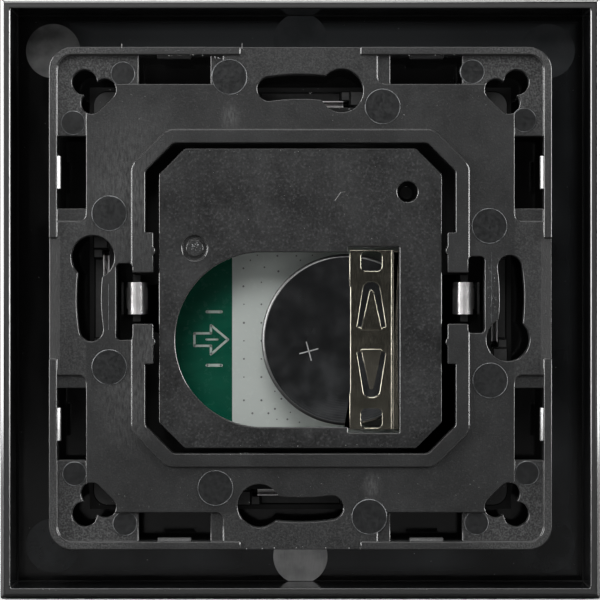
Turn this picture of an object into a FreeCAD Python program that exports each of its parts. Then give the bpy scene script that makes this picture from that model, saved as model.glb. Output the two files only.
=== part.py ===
import FreeCAD
import Part
import math
import os

# Wireless wall switch: cover frame, wall plate, coin cell transmitter module and rocker.
# Millimetres. The wall is the plane Y = 0, the room is towards -Y and +Z is up.
# Outlines are drawn as seen from the wall side: u to the right (-X), w up (+Z),
# and depth is the distance from the wall into the room.

V = FreeCAD.Vector
CENTRE = V(0, 0, 0)
TO_ROOM = V(0, -1, 0)
SIDEWAYS = V(1, 0, 0)
CUT = 0.5

# Coin cell, how far it slides out, and the bay round it
CELL_R = 12.25
CELL_THICK = 5.0
CELL_TRAVEL = 12.1
CELL_BEVEL = 0.35
CELL_CAP_INSET = 1.35
CELL_CAP_STEP = 0.35
CELL_GAP = 0.1
BAY_CLEARANCE = 0.2
BAY_MARGIN = 2.3

# Battery clip, a bridge of sheet metal over the cell
CLIP_SHEET = 0.25
CLIP_SINK = 0.3
CLIP_ROOM = 0.35
CLIP_WIDTH = 7.0
CLIP_OFFSET = 0.3
CLIP_LIP = 1.1
CLIP_LEG_GAP = 0.3
CLIP_LEG_WIDTH = 3.8
CLIP_LEG_SHIFT = -0.1
CLIP_SLOT_CLEARANCE = 0.12
CLIP_END_CLEARANCE = 0.47
CLIP_WAIST = 0.12
CLIP_WAIST_HALF = 7.57
CLIP_HOLE_WIDTH = 3.0
CLIP_HOLE_LENGTH = 2.75
CLIP_HOLE_EDGE = 0.25
CLIP_HOLE_ROUND = 0.7
FINGER_SHIFT = 0.175
FINGER_ROOT = 1.8
FINGER_HEEL = 0.4
FINGER_GAP = 1.6
FINGER_SLOT = 0.55
FINGER_ROOT_HALF = 1.5
FINGER_TIP_HALF = 0.25
FINGER_HOLE_HALF = 1.05
FINGER_HOLE_ROUND = 1.0
FINGER_BEND = 2.2

# Rear housing of the transmitter module
HOUSING_REAR = 0.45
HOUSING_WALL = 0.8
HOUSING_CHAMFER = 3.7
HOUSING_ROUND = 0.6
CELL_SIDE_GAP = 0.4
CLIP_MARGIN_LOW = 2.18
PARTS_STRIP = 13.98
GATE_FROM_SIDE = 5.1
GATE_FROM_TOP = 14.2
GATE_R = 1.8
GATE_CORE_R = 1.25
GATE_DEPTH = 0.35
GATE_CORE_DEPTH = 0.12

# Circuit board, and the leaf on it that meets the cell
BOARD_THICK = 1.0
BOARD_CLEARANCE = 0.2
CONTACT_SHEET = 0.15
CONTACT_LENGTH = 11.0
CONTACT_WIDTH = 4.0
CONTACT_RISE = 0.36
CONTACT_BEND = 1.0
CONTACT_GAP = 0.115

# Small parts on the board, placed from the housing's left side and top
CHIP_SIDE = 5.0
CHIP_HEIGHT = 0.85
CHIP_FROM_SIDE = 13.15
CHIP_FROM_TOP = 7.95
CRYSTAL_LENGTH = 3.2
CRYSTAL_WIDTH = 2.5
CRYSTAL_HEIGHT = 0.7
CRYSTAL_FROM_SIDE = 7.55
CRYSTAL_FROM_TOP = 6.75
ROW_LENGTH = 1.0
ROW_WIDTH = 0.5
ROW_PITCH = 1.5
ROW_COUNT = 4
ROW_FROM_TOP = 9.95
CAPACITOR_HEIGHT = 0.5
CAPACITOR_FROM_SIDE = 17.75
RESISTOR_HEIGHT = 0.35
RESISTOR_FROM_SIDE = 20.35

# Pairing switch and the lamp beside it, placed from the housing's right side and top
PAIRING_FROM_SIDE = 4.9
PAIRING_FROM_TOP = 6.18
PAIRING_HOLE_R = 1.47
PAIRING_SIDE = 3.6
PAIRING_HEIGHT = 1.9
PAIRING_FLOOR = 0.5
PAIRING_PLUNGER_R = 0.9
PAIRING_PLUNGER_OUT = 0.7
PAIRING_TRAVEL = 0.25
LED_LENGTH = 1.6
LED_WIDTH = 0.8
LED_HEIGHT = 0.6
LED_OFFSET = 3.85

# Wall plate
PLATE_CORNER = 3.3
PLATE_FRONT = 2.8
LIP_WIDTH = 1.1
LIP_GAP_HALF = 8.6
FIELD_DEPTH = 0.4
FIELD_INSET = 5.25
FIELD_TAB_MARGIN = 1.85
FIELD_TAB_ROUND = 1.1
RECESS_DEPTH = 0.9
OPENING_GAP_SIDE = 1.95
OPENING_GAP_END = 0.75
OPENING_CHAMFER = 3.95
OPENING_ROUND = 1.0
RIM_WIDTH = 1.9
RIM_CHAMFER = 5.1
RIM_ROUND = 2.2

# Screw keyholes, one on each side, set like a pinwheel
KEYHOLE_SLOT = 3.5
KEYHOLE_HEAD_R = 3.1
KEYHOLE_HEAD_ANGLE = 11.2
KEYHOLE_END_ANGLE = 8.4
KEYHOLE_INNER_WALL = 2.15
KEYHOLE_OUTER_WALL = 3.85

# Three lobed holes, placed from the plate's corners
LOBE_FAR_INSET = 4.95
LOBE_FAR_R = 1.8
LOBE_OUT_INSET = 6.05
LOBE_IN_INSET = 7.9
LOBE_NEAR_R = 1.6

# Catch windows, two on each side, placed from the field's corners
WINDOW_LENGTH = 10.3
WINDOW_INSET = 12.55
LEDGE_LENGTH = 4.85
LEDGE_WIDTH = 0.55
LEDGE_REAR = 0.25
LEDGE_SLOPE = 0.47
LEDGE_FRONT = 1.5

# Spring openings at the left and right of the module, placed from the plate's opening
SIDE_SLOT_NEAR = 1.76
SIDE_SLOT_FAR = 4.15
SIDE_SLOT_HALF = 5.45
SIDE_SLOT_SHIFT = 0.5
SIDE_SLOT_ROUND = 0.6
SPRING_GAP_CLEARANCE = 0.25
BLOCK_REACH = 1.15
BLOCK_LENGTH = 5.7
BUMP_R = 0.6
BUMP_OUT = 0.28

# Retaining springs, hairpins over the carrier's posts
HAIRPIN_OFFSET = 1.3
HAIRPIN_ACROSS = 2.55
HAIRPIN_SHEET = 0.35
HAIRPIN_WIDTH = 4.6
HAIRPIN_REAR = 1.2
HAIRPIN_TAIL_R = 0.45
HAIRPIN_TAIL_GAP = 1.0
HAIRPIN_TAIL_CLEARANCE = 0.8
HAIRPIN_BEAD_R = 1.0
HAIRPIN_BEAD_OUT = 0.25
HAIRPIN_BEAD_LENGTH = 3.0
HAIRPIN_BEAD_STEP = 0.1
POST_SLACK = 0.325
POST_WIDTH = 6.8
POST_CLEARANCE = 0.3

# Module carrier, behind the rocker
CARRIER_THICK = 1.2
CARRIER_SKIRT = 1.2
CARRIER_GAP = 0.2
CARRIER_CORNER = 0.8
CARRIER_STEP = 0.4
TRAY_GAP = 0.55
SPACER_INSET = 2.0
SPACER_SIDE = 3.2

# Cover frame and its collar round the carrier
FRAME_REVEAL = 5.45
FRAME_WALL = 1.5
FRAME_FACE = 2.5
FRAME_FACE_GAP = 0.1
FRAME_RIM_ROUND = 0.22
FRAME_SLOPE = 0.56
FRAME_SLOPE_DEPTH = 0.45
FRAME_FRONT_ROUND = 0.5
COLLAR_WALL = 2.15
COLLAR_STANDOFF = 1.4
COLLAR_CORNER = 2.1
COLLAR_POCKET = 0.75
COLLAR_POCKET_CLEARANCE = 0.75
COLLAR_NOTCH_HALF = 5.8
COLLAR_NOTCH_LAND = 0.9
COLLAR_STEP_MARGIN = 1.35
COLLAR_STEP_DEPTH = 0.5

# Frame springs, channels of spring sheet between collar and carrier
CHANNEL_SHEET = 0.15
CHANNEL_LENGTH = 12.4
CHANNEL_SLACK = 0.05
CHANNEL_STEP = 0.2
CHANNEL_INNER_STEP = 0.3
CHANNEL_LAND = 0.6

# Push switches under the rocker
SWITCH_FROM_END = 7.35
SWITCH_SIDE = 4.5
SWITCH_ROOM = 0.2
SWITCH_BASE_HEIGHT = 1.4
SWITCH_FLOOR = 0.4
SWITCH_COVER_SHEET = 0.15
SWITCH_TAB_WIDTH = 1.6
SWITCH_TAB_START = 0.5
PLUNGER_R = 1.2
PLUNGER_PROUD = 0.49
PLUNGER_CLEARANCE = 0.08
PLUNGER_FLANGE_R = 1.5
PLUNGER_FLANGE = 0.3
PLUNGER_TRAVEL = 0.3

# Rocker and its pivots
ROCKER_GAP = 0.3
ROCKER_FACE = 1.8
ROCKER_SKIRT = 1.2
ROCKER_TILT = 1.2
ROCKER_CLEARANCE = 0.32
ROCKER_CORNER = 0.5
ROCKER_FRONT_ROUND = 0.7
ROCKER_RIB = 0.9
ROCKER_RIB_HEIGHT = 0.6
ROCKER_RIB_W = 7.5
ROCKER_RIB_U = 12.0
PAD_R = 1.5
PAD_GAP = 0.06
PIVOT_R = 0.7
PIVOT_STEP = 0.1
PIVOT_CLEARANCE = 0.06
PIVOT_LUG_HALF = 1.5
PIVOT_LUG_WALL = 0.2
PIVOT_PIN_REACH = 1.5
PIVOT_EAR = 1.4
PIVOT_EAR_HALF = 1.3
PIVOT_EAR_WALL = 0.5
PIVOT_HEADROOM = 0.54
PIVOT_ROOM = 0.3

# Depths that follow, from the wall into the room
CLIP_REAR = HOUSING_REAR + CLIP_SINK
CLIP_FRONT = CLIP_REAR + CLIP_SHEET
CELL_REAR = max(HOUSING_REAR + HOUSING_WALL + CELL_GAP, CLIP_FRONT + CLIP_ROOM)
CONTACT_ROOM = CONTACT_GAP + CONTACT_RISE + CONTACT_SHEET / 2
BOARD_REAR = CELL_REAR + CELL_THICK + CONTACT_ROOM
CARRIER_REAR = BOARD_REAR + BOARD_THICK
CARRIER_FRONT = CARRIER_REAR + CARRIER_THICK
COLLAR_REAR = PLATE_FRONT + COLLAR_STANDOFF
CARRIER_SKIRT_REAR = COLLAR_REAR + CARRIER_STEP
FACE_REAR = CARRIER_REAR + FRAME_FACE_GAP
FRAME_FRONT = FACE_REAR + FRAME_FACE
COVER_REAR = CARRIER_REAR + SWITCH_BASE_HEIGHT
PLUNGER_TIP = COVER_REAR + SWITCH_COVER_SHEET + PLUNGER_PROUD
PIVOT_DEPTH = CARRIER_FRONT + PIVOT_STEP
LUG_REAR = PIVOT_DEPTH - PIVOT_R - PIVOT_LUG_WALL
EAR_TOP = PIVOT_DEPTH + PIVOT_R + PIVOT_CLEARANCE + PIVOT_EAR_WALL
ROCKER_REAR = EAR_TOP + PIVOT_HEADROOM
ROCKER_FRONT = ROCKER_REAR + ROCKER_FACE

# The housing's size and the places inside it
BAY_R = CELL_R + BAY_CLEARANCE
CLIP_HALF = CELL_R + CLIP_LEG_GAP + CLIP_SHEET
CELL_SPAN = BAY_R + CELL_TRAVEL + CELL_R
HOUSING_WIDTH = BAY_MARGIN + CELL_SPAN + CELL_SIDE_GAP + HOUSING_WALL
CLIP_SLOT_HALF = CLIP_HALF + CLIP_END_CLEARANCE
HOUSING_HEIGHT = CLIP_MARGIN_LOW + 2 * CLIP_SLOT_HALF + PARTS_STRIP
HOUSING_RIGHT = HOUSING_WIDTH / 2
HOUSING_TOP = HOUSING_HEIGHT / 2
CELL_OUT_U = BAY_MARGIN + BAY_R - HOUSING_RIGHT
CELL_HOME_U = CELL_OUT_U + CELL_TRAVEL
CELL_W = CLIP_MARGIN_LOW + CLIP_SLOT_HALF - HOUSING_TOP
CLIP_LEFT = CELL_HOME_U + CLIP_OFFSET
CLIP_RIGHT = CLIP_LEFT + CLIP_WIDTH
PAIRING_U = HOUSING_RIGHT - PAIRING_FROM_SIDE
PAIRING_W = HOUSING_TOP - PAIRING_FROM_TOP
SWITCH_W = HOUSING_TOP - SWITCH_FROM_END

# From the plate's opening outwards
OPENING_RIGHT = HOUSING_RIGHT + OPENING_GAP_SIDE
OPENING_TOP = HOUSING_TOP + OPENING_GAP_END
SLOT_NEAR_U = OPENING_RIGHT + SIDE_SLOT_NEAR
SLOT_FAR_U = OPENING_RIGHT + SIDE_SLOT_FAR
SPRING_GAP_HALF = POST_WIDTH / 2 + SPRING_GAP_CLEARANCE
SCREW_R = max(SLOT_FAR_U, OPENING_TOP + RIM_WIDTH) + KEYHOLE_INNER_WALL + KEYHOLE_SLOT / 2
PLATE_HALF = SCREW_R + KEYHOLE_SLOT / 2 + KEYHOLE_OUTER_WALL
LIP_INNER = PLATE_HALF - LIP_WIDTH
FIELD_HALF = PLATE_HALF - FIELD_INSET
WINDOW_OFFSET = FIELD_HALF - WINDOW_INSET
FIELD_TAB_HALF = WINDOW_OFFSET - WINDOW_LENGTH / 2 - FIELD_TAB_MARGIN
HAIRPIN_U = OPENING_RIGHT + HAIRPIN_OFFSET
HAIRPIN_HALF = (HAIRPIN_ACROSS - HAIRPIN_SHEET) / 2
TAIL_U = HAIRPIN_U + HAIRPIN_HALF + 2 * HAIRPIN_TAIL_R + HAIRPIN_SHEET / 2
TRAY_HALF = max(TAIL_U + HAIRPIN_SHEET / 2, HOUSING_TOP) + TRAY_GAP
CARRIER_HALF = TRAY_HALF + CARRIER_SKIRT
SHAFT_HALF = CARRIER_HALF + CARRIER_GAP
COLLAR_HALF = SHAFT_HALF + COLLAR_WALL
ROCKER_HALF = CARRIER_HALF
FRAME_INNER = PLATE_HALF + FRAME_REVEAL
FRAME_HALF = FRAME_INNER + FRAME_WALL


def spot(u, w, depth=0.0):
    """A point given as seen from the wall side."""
    return V(-u, -depth, w)


def outline(corners):
    """A closed wire through (u, w) corners; a third value rounds a corner to that radius."""
    points = [spot(c[0], c[1]) for c in corners]
    radii = [c[2] if len(c) > 2 else 0.0 for c in corners]
    count = len(points)
    starts = []
    ends = []
    middles = []
    for i in range(count):
        back = (points[i - 1] - points[i]).normalize()
        on = (points[(i + 1) % count] - points[i]).normalize()
        half = back.getAngle(on) / 2
        reach = radii[i] / math.tan(half)
        inward = (back + on).normalize()
        starts.append(points[i] + back * reach)
        ends.append(points[i] + on * reach)
        middles.append(points[i] + inward * (radii[i] / math.sin(half) - radii[i]))
    edges = []
    for i in range(count):
        if radii[i] > 0:
            edges.append(Part.Arc(starts[i], middles[i], ends[i]).toShape())
        after = starts[(i + 1) % count]
        if (after - ends[i]).Length > 1e-6:
            edges.append(Part.LineSegment(ends[i], after).toShape())
    return Part.Wire(edges)


def rectangle(left, right, low, high, radius=0.0):
    """A closed rectangle, as seen from the wall side."""
    corners = [(left, low), (right, low), (right, high), (left, high)]
    return outline([(u, w, radius) for u, w in corners])


def square(half, radius=0.0):
    """A closed square about the centre."""
    return rectangle(-half, half, -half, half, radius)


def chamfered(u, w, chamfer, radius):
    """A rectangle about the centre out to u and w, with 45 degree corners whose ends are rounded."""
    corners = [(-u, chamfer - w), (chamfer - u, -w), (u - chamfer, -w), (u, chamfer - w)]
    corners += [(u, w - chamfer), (u - chamfer, w), (chamfer - u, w), (-u, w - chamfer)]
    return outline([(a, b, radius) for a, b in corners])


def prism(wire, near, far):
    """The outline's solid between two depths."""
    face = Part.Face(wire)
    face.translate(TO_ROOM * near)
    return face.extrude(TO_ROOM * (far - near))


def taper(first, near, second, far):
    """A solid whose outline goes from the first wire to the second between two depths."""
    first.translate(TO_ROOM * near)
    second.translate(TO_ROOM * far)
    return Part.makeLoft([first, second], True, True)


def disc(u, w, radius, near, far):
    """A round solid whose axis runs into the room."""
    return Part.makeCylinder(radius, far - near, spot(u, w, near), TO_ROOM)


def fused(shapes):
    """One solid of several that touch or overlap."""
    whole = shapes[0]
    if len(shapes) > 1:
        whole = shapes[0].fuse(shapes[1:])
    return whole.removeSplitter()


def turned(shape, quarters):
    """A copy turned clockwise by quarters, as seen from the wall side."""
    copy = shape.copy()
    copy.rotate(CENTRE, V(0, 1, 0), -90 * quarters)
    return copy


def mirrored(shape):
    """A copy on the other side of the vertical centre line."""
    return shape.mirror(CENTRE, SIDEWAYS)


def all_round(shapes):
    """Four copies of each shape, one for each side."""
    return [turned(shape, quarters) for shape in shapes for quarters in range(4)]


def rounded_at(shape, depth, radius, reach):
    """Rounds the straight edges that lie wholly at one depth, no further out than reach."""
    picked = []
    for edge in shape.Edges:
        level = all(abs(vertex.Y + depth) < 1e-6 for vertex in edge.Vertexes)
        within = all(max(abs(vertex.X), abs(vertex.Z)) < reach + 1e-6 for vertex in edge.Vertexes)
        if level and within:
            picked.append(edge)
    return shape.makeFillet(radius, picked)


def sheet_profile(points, radii, thick):
    """A bent strip's closed outline, from its centre line in the (u, depth) plane."""
    left = []
    right = []
    count = len(points)
    for i in range(count):
        before = points[max(i - 1, 0)]
        here = points[i]
        after = points[min(i + 1, count - 1)]
        first = V(here[0] - before[0], here[1] - before[1], 0)
        second = V(after[0] - here[0], after[1] - here[1], 0)
        if i == 0:
            first = second
        if i == count - 1:
            second = first
        first.normalize()
        second.normalize()
        bisector = (first + second).normalize()
        side = V(-bisector.y, bisector.x, 0)
        reach = thick / 2 / bisector.dot(second)
        turn = first.x * second.y - first.y * second.x
        radius = radii[i]
        inner = max(radius - thick / 2, 0.0) if radius else 0.0
        outer = radius + thick / 2 if radius else 0.0
        left_radius = inner if turn > 0 else outer
        right_radius = outer if turn > 0 else inner
        left.append((here[0] + side.x * reach, here[1] + side.y * reach, left_radius))
        right.append((here[0] - side.x * reach, here[1] - side.y * reach, right_radius))
    return left + right[::-1]


def bar(profile, low, high):
    """A (u, depth) profile drawn out along w from low to high."""
    face = Part.Face(outline(profile))
    face.rotate(CENTRE, SIDEWAYS, 90)
    face.translate(V(0, 0, low))
    return face.extrude(V(0, 0, high - low))


def strip(points, radii, thick, low, high):
    """Sheet bent along a (u, depth) centre line, as wide as from low to high along w."""
    return bar(sheet_profile(points, radii, thick), low, high)


def cover_frame():
    """The outer frame with its rim towards the wall and its collar round the carrier."""
    body = prism(square(FRAME_HALF), FRAME_SLOPE_DEPTH, FRAME_FRONT)
    body = rounded_at(body, FRAME_FRONT, FRAME_FRONT_ROUND, FRAME_HALF)
    rim = taper(square(FRAME_HALF - FRAME_SLOPE), 0, square(FRAME_HALF), FRAME_SLOPE_DEPTH)
    cavity = prism(square(FRAME_INNER), -CUT, FACE_REAR)
    shell = rounded_at(fused([body, rim]).cut(cavity), 0, FRAME_RIM_ROUND, FRAME_INNER)
    collar = prism(square(COLLAR_HALF, COLLAR_CORNER), COLLAR_REAR, FACE_REAR)
    shaft = prism(square(SHAFT_HALF, CARRIER_CORNER), 0, FACE_REAR)
    pocket_half = CHANNEL_LENGTH / 2 + COLLAR_POCKET_CLEARANCE
    pocket = prism(
        rectangle(-SHAFT_HALF - COLLAR_POCKET, CUT - SHAFT_HALF, -pocket_half, pocket_half),
        0,
        FACE_REAR,
    )
    notch = prism(
        rectangle(-COLLAR_HALF - CUT, CUT - SHAFT_HALF, -COLLAR_NOTCH_HALF, COLLAR_NOTCH_HALF),
        0,
        CARRIER_REAR - COLLAR_NOTCH_LAND,
    )
    step_half = COLLAR_NOTCH_HALF + COLLAR_STEP_MARGIN
    step = prism(
        rectangle(-COLLAR_HALF - CUT, CUT - SHAFT_HALF, -step_half, step_half),
        0,
        COLLAR_REAR + COLLAR_STEP_DEPTH,
    )
    collar = collar.cut([shaft] + all_round([pocket, notch, step]))
    window = prism(square(ROCKER_HALF + ROCKER_GAP), FACE_REAR, FRAME_FRONT + CUT)
    return fused([shell.cut(window), collar])


def keyhole():
    """The left side's curved screw keyhole, cut right through the wall plate."""
    half = KEYHOLE_SLOT / 2
    head = math.radians(KEYHOLE_HEAD_ANGLE)
    end = math.radians(-KEYHOLE_END_ANGLE)
    middle = (head + end) / 2

    def on(angle, out):
        return spot(-out * math.cos(angle), out * math.sin(angle))

    inner = SCREW_R - half
    outer = SCREW_R + half
    end_cap = on(end, SCREW_R) + V(-math.sin(-end), 0, -math.cos(end)) * half
    edges = [
        Part.Arc(on(head, outer), on(middle, outer), on(end, outer)),
        Part.Arc(on(end, outer), end_cap, on(end, inner)),
        Part.Arc(on(end, inner), on(middle, inner), on(head, inner)),
        Part.LineSegment(on(head, inner), on(head, outer)),
    ]
    slot = prism(Part.Wire([edge.toShape() for edge in edges]), -CUT, PLATE_FRONT + CUT)
    centre = on(head, SCREW_R)
    return fused([slot, disc(-centre.x, centre.z, KEYHOLE_HEAD_R, -CUT, PLATE_FRONT + CUT)])


def corner_hole():
    """The upper left corner's hole of three lobes."""
    through = PLATE_FRONT + CUT
    far = PLATE_HALF - LOBE_FAR_INSET
    out = PLATE_HALF - LOBE_OUT_INSET
    near = PLATE_HALF - LOBE_IN_INSET
    slant = LOBE_NEAR_R * math.sqrt(0.5)
    web = [
        (-out - slant, near - slant),
        (-out + slant, near - slant),
        (-near + slant, out - slant),
        (-near + slant, out + slant),
        (-out, out),
    ]
    lobes = [
        disc(-far, far, LOBE_FAR_R, -CUT, through),
        disc(-near, out, LOBE_NEAR_R, -CUT, through),
        disc(-out, near, LOBE_NEAR_R, -CUT, through),
        prism(outline(web), -CUT, through),
    ]
    return fused(lobes)


def side_windows():
    """The two catch windows of the left side, and the ledges on their outer walls."""
    windows = []
    ledges = []
    ledge = [
        (-LIP_INNER - LIP_WIDTH / 2, LEDGE_REAR),
        (-LIP_INNER, LEDGE_REAR),
        (-LIP_INNER + LEDGE_WIDTH, LEDGE_REAR + LEDGE_SLOPE),
        (-LIP_INNER + LEDGE_WIDTH, LEDGE_FRONT),
        (-LIP_INNER - LIP_WIDTH / 2, LEDGE_FRONT),
    ]
    for w in (WINDOW_OFFSET, -WINDOW_OFFSET):
        half = WINDOW_LENGTH / 2
        window = rectangle(-LIP_INNER, -FIELD_HALF, w - half, w + half)
        windows.append(prism(window, -CUT, PLATE_FRONT + CUT))
        half = LEDGE_LENGTH / 2
        ledges.append(bar(ledge, w - half, w + half))
    return windows, ledges


def plate_field():
    """The raised middle of the wall plate, with a tab out to each side."""
    tab = FIELD_TAB_HALF
    bend = FIELD_TAB_ROUND
    quarter = [(-PLATE_HALF, -tab), (-PLATE_HALF, tab), (-FIELD_HALF, tab, bend)]
    quarter += [(-FIELD_HALF, FIELD_HALF), (-tab, FIELD_HALF, bend)]
    corners = []
    for _ in range(4):
        corners += quarter
        quarter = [(corner[1], -corner[0]) + tuple(corner[2:]) for corner in quarter]
    return prism(outline(corners), FIELD_DEPTH, RECESS_DEPTH)


def plate_lip():
    """The lip along the plate's edge, open in the middle of each side."""
    inside = square(LIP_INNER, PLATE_CORNER - LIP_WIDTH)
    reach = PLATE_HALF + CUT
    gap = prism(rectangle(-reach, reach, -LIP_GAP_HALF, LIP_GAP_HALF), -CUT, RECESS_DEPTH)
    lip = prism(square(PLATE_HALF, PLATE_CORNER), 0, RECESS_DEPTH)
    return lip.cut([prism(inside, -CUT, RECESS_DEPTH + CUT), gap, turned(gap, 1)]).Solids


def spring_blocks():
    """The right side's two blocks beside the spring gap, each with a bump towards the module."""
    blocks = []
    for end in (-1, 1):
        middle = end * (SPRING_GAP_HALF + BLOCK_LENGTH / 2)
        left = OPENING_RIGHT - BLOCK_REACH
        half = BLOCK_LENGTH / 2
        block = rectangle(left, SLOT_NEAR_U, middle - half, middle + half)
        blocks.append(prism(block, 0, PLATE_FRONT))
        blocks.append(disc(left - BUMP_OUT + BUMP_R, middle + BUMP_OUT, BUMP_R, 0, PLATE_FRONT))
    return blocks


def spring_openings(side):
    """The slot and the gap that let a hairpin spring through the plate, right (1) or left (-1)."""
    low = side * SIDE_SLOT_SHIFT - SIDE_SLOT_HALF
    ends = sorted([side * SLOT_FAR_U, side * SLOT_NEAR_U])
    slot = rectangle(ends[0], ends[1], low, low + 2 * SIDE_SLOT_HALF, SIDE_SLOT_ROUND)
    ends = sorted([side * (SLOT_NEAR_U + SIDE_SLOT_ROUND), side * (OPENING_RIGHT - BLOCK_REACH - CUT)])
    gap = rectangle(ends[0], ends[1], -SPRING_GAP_HALF, SPRING_GAP_HALF)
    return [prism(outline, -CUT, PLATE_FRONT + CUT) for outline in (slot, gap)]


def mounting_plate():
    """The moulded plate that is screwed to the wall box."""
    base = prism(square(PLATE_HALF, PLATE_CORNER), RECESS_DEPTH, PLATE_FRONT)
    rim_u = OPENING_RIGHT + RIM_WIDTH
    rim = prism(chamfered(rim_u, OPENING_TOP + RIM_WIDTH, RIM_CHAMFER, RIM_ROUND), 0, PLATE_FRONT)
    opening = chamfered(OPENING_RIGHT, OPENING_TOP, OPENING_CHAMFER, OPENING_ROUND)
    windows, ledges = side_windows()
    cuts = [prism(opening, -CUT, PLATE_FRONT + CUT)]
    cuts += all_round(windows + [keyhole(), corner_hole()])
    plate = fused([base, plate_field(), rim] + plate_lip()).cut(cuts)
    blocks = spring_blocks()
    plate = fused([plate] + all_round(ledges) + blocks + [mirrored(block) for block in blocks])
    return plate.cut(spring_openings(1) + spring_openings(-1))


def inner_housing_outline(gap):
    """The housing's outline drawn in by a gap on every side."""
    chamfer = HOUSING_CHAMFER - gap * (2 - math.sqrt(2))
    return chamfered(HOUSING_RIGHT - gap, HOUSING_TOP - gap, chamfer, HOUSING_ROUND)


def rear_housing():
    """The module's rear shell with the open battery bay and the pairing hole."""
    wall_front = HOUSING_REAR + HOUSING_WALL
    body = prism(inner_housing_outline(0), HOUSING_REAR, CARRIER_REAR)
    body = body.cut(prism(inner_housing_outline(HOUSING_WALL), wall_front, CARRIER_REAR + CUT))
    behind = HOUSING_REAR - CUT
    front = wall_front + CUT
    slot_right = CLIP_RIGHT + CLIP_SLOT_CLEARANCE
    slot_left = CLIP_LEFT - 2 * CLIP_SLOT_CLEARANCE
    straight = rectangle(CELL_OUT_U, slot_right, CELL_W - BAY_R, CELL_W + BAY_R)
    bay = fused([disc(CELL_OUT_U, CELL_W, BAY_R, behind, front), prism(straight, behind, front)])
    clip_slot = rectangle(slot_left, slot_right, CELL_W - CLIP_SLOT_HALF, CELL_W + CLIP_SLOT_HALF)
    hole = disc(PAIRING_U, PAIRING_W, PAIRING_HOLE_R, behind, front)
    gate_u = GATE_FROM_SIDE - HOUSING_RIGHT
    gate_w = HOUSING_TOP - GATE_FROM_TOP
    gate = disc(gate_u, gate_w, GATE_R, behind, HOUSING_REAR + GATE_DEPTH)
    core = disc(gate_u, gate_w, GATE_CORE_R, HOUSING_REAR + GATE_CORE_DEPTH, front)
    return body.cut([bay, prism(clip_slot, behind, front), hole, gate.cut(core)])


def coin_cell():
    """The cell: a can with a sloped rim, and a smaller cap towards the room."""
    step = CELL_THICK - CELL_CAP_STEP
    cap_r = CELL_R - CELL_CAP_INSET
    profile = [
        V(0, 0, 0),
        V(CELL_R - CELL_BEVEL, 0, 0),
        V(CELL_R, CELL_BEVEL, 0),
        V(CELL_R, step, 0),
        V(cap_r, step, 0),
        V(cap_r, CELL_THICK, 0),
        V(0, CELL_THICK, 0),
        V(0, 0, 0),
    ]
    cell = Part.Face(Part.makePolygon(profile)).revolve(CENTRE, V(0, 1, 0), 360)
    cell.rotate(CENTRE, SIDEWAYS, 180)
    cell.translate(spot(CELL_HOME_U, CELL_W, CELL_REAR))
    return cell


def battery_clip():
    """The stamped bridge over the cell, with two pierced fingers and a leg at each end."""
    lip_front = CLIP_FRONT + CLIP_SHEET
    lip_left = CLIP_RIGHT - CLIP_LIP
    low = CELL_W - CLIP_HALF
    high = CELL_W + CLIP_HALF
    middle = (CLIP_LEFT + lip_left) / 2 + FINGER_SHIFT
    centre = CLIP_REAR + CLIP_SHEET / 2
    joggle = [
        (CLIP_LEFT, centre),
        (lip_left, centre),
        (lip_left + CLIP_SHEET, centre + CLIP_SHEET),
        (CLIP_RIGHT, centre + CLIP_SHEET),
    ]
    parts = [strip(joggle, [0, 0, 0, 0], CLIP_SHEET, low, high)]
    leg_left = middle - CLIP_LEG_WIDTH / 2 + CLIP_LEG_SHIFT
    for end in (low, high - CLIP_SHEET):
        leg = rectangle(leg_left, leg_left + CLIP_LEG_WIDTH, end, end + CLIP_SHEET)
        parts.append(prism(leg, CLIP_REAR, BOARD_REAR))
    hole_far = CLIP_HALF - CLIP_HOLE_EDGE
    hole_near = hole_far - CLIP_HOLE_LENGTH
    slot_tip = hole_near - FINGER_GAP
    waist = (CELL_W - CLIP_WAIST_HALF, CELL_W + CLIP_WAIST_HALF)
    cuts = [
        prism(rectangle(CLIP_LEFT - CUT, CLIP_LEFT + CLIP_WAIST, *waist), 0, lip_front + CUT),
        prism(rectangle(CLIP_RIGHT - CLIP_WAIST, CLIP_RIGHT + CUT, *waist), 0, lip_front + CUT),
    ]
    fingers = []
    for side in (1, -1):
        root = CELL_W + side * FINGER_ROOT
        heel = root - side * FINGER_HEEL
        tip = CELL_W + side * slot_tip
        wide = FINGER_ROOT_HALF + FINGER_SLOT
        slot = [
            (middle - wide, root),
            (middle + wide, root),
            (middle + FINGER_HOLE_HALF, tip, FINGER_HOLE_ROUND),
            (middle - FINGER_HOLE_HALF, tip, FINGER_HOLE_ROUND),
        ]
        cuts.append(prism(outline(slot), CLIP_REAR - CUT, lip_front + CUT))
        tip -= side * 2 * FINGER_SLOT
        blade = [
            (middle - FINGER_ROOT_HALF, heel),
            (middle + FINGER_ROOT_HALF, heel),
            (middle + FINGER_TIP_HALF, tip),
            (middle - FINGER_TIP_HALF, tip),
        ]
        finger = prism(outline(blade), CLIP_REAR, CLIP_FRONT)
        finger.rotate(spot(middle, root, CLIP_FRONT), SIDEWAYS, side * FINGER_BEND)
        fingers.append(finger)
        ends = sorted([CELL_W + side * hole_near, CELL_W + side * hole_far])
        reach = CLIP_HOLE_WIDTH / 2
        hole = rectangle(middle - reach, middle + reach, ends[0], ends[1], CLIP_HOLE_ROUND)
        cuts.append(prism(hole, CLIP_REAR - CUT, lip_front + CUT))
    return fused([fused(parts).cut(cuts)] + fingers)


def circuit_board():
    """The board that fills the housing's outline."""
    return prism(inner_housing_outline(HOUSING_WALL + BOARD_CLEARANCE), BOARD_REAR, CARRIER_REAR)


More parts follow.
